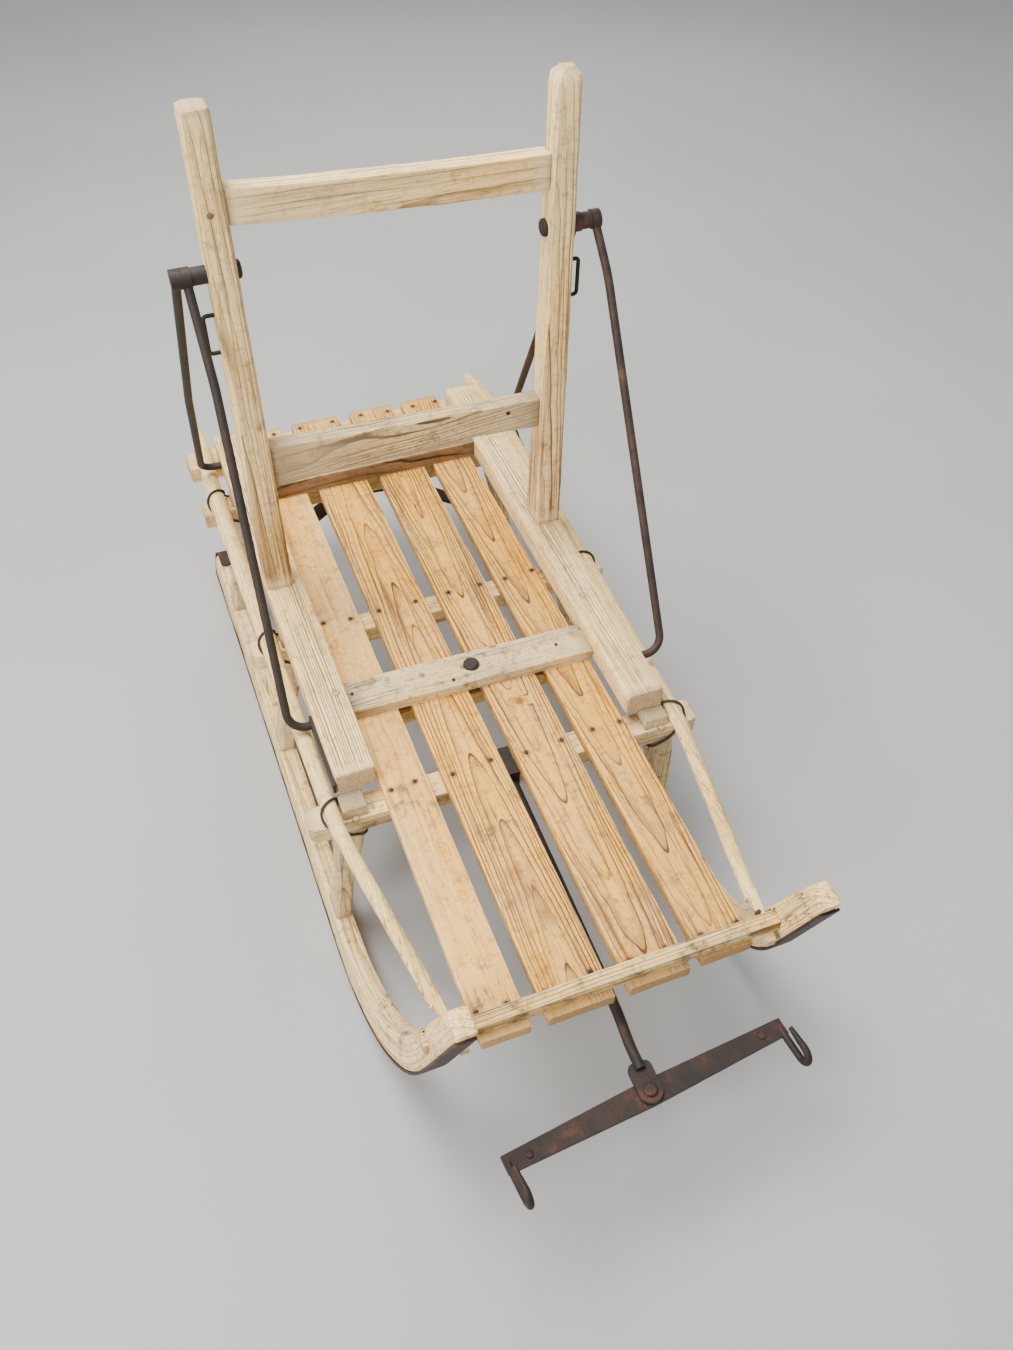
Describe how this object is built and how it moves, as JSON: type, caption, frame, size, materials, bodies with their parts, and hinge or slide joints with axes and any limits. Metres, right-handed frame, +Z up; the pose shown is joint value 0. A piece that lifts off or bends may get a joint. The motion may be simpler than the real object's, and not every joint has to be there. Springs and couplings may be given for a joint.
{
  "type": "wooden sled",
  "caption": "Horse-drawn wooden sled: upturned iron-shod runners, slatted deck, tall rod-braced loading frame and a turning swingletree on an iron drawbar.",
  "frame": {"origin": "on the ground under the middle of the sled's bounding box", "axes": "X to the right, Y to the rear, Z up; the noses and the swingletree are at low Y"},
  "size_m": [0.684, 1.698, 1.236],
  "materials": {
    "runner_wood": "weathered, pale",
    "bolster_wood": "weathered",
    "deck_wood": "worn, honey-coloured",
    "frame_wood": "worn, cream",
    "grey_wood": "weathered, greyed",
    "dark_iron": "forged, dark",
    "rusty_iron": "forged, rusted"
  },
  "bodies": {
    "sled": {"runner_left": "runner_wood", "runner_right": "runner_wood", "upright_front_left": "runner_wood", "upright_front_right": "runner_wood", "upright_middle_left": "runner_wood", "upright_middle_right": "runner_wood", "upright_rear_left": "runner_wood", "upright_rear_right": "runner_wood", "side_pole_left": "runner_wood", "side_pole_right": "runner_wood", "front_crossbar": "runner_wood", "bolster_front": "bolster_wood", "bolster_middle": "bolster_wood", "bolster_rear": "bolster_wood", "bolster_tail": "bolster_wood", "under_batten": "bolster_wood", "slat_1": "deck_wood", "slat_2": "deck_wood", "slat_3": "deck_wood", "slat_4": "deck_wood", "beam_left": "frame_wood", "beam_right": "frame_wood", "post_left": "frame_wood", "post_right": "frame_wood", "upper_rail": "frame_wood", "lower_rail": "grey_wood", "cross_board": "grey_wood", "rear_cross_rail": "grey_wood", "runner_sole_left": "dark_iron", "runner_sole_right": "dark_iron", "brace_pin_left": "dark_iron", "brace_pin_right": "dark_iron", "brace_left": "dark_iron", "brace_right": "dark_iron", "staple_left": "dark_iron", "staple_right": "dark_iron", "rear_arch_brace": "dark_iron", "clamp_bolt": "dark_iron", "drawbar": "rusty_iron", "swingletree_rivet": "rusty_iron"},
    "swingletree": {"swingletree": "rusty_iron"}
  },
  "joints": [
    {"name": "swingletree_turn", "type": "hinge", "parent": "sled", "child": "swingletree", "pos_m": [0, -0.75802, 0.25], "axis": [0, 0, 1], "range_deg": [-55.5, 44.5]}
  ]
}
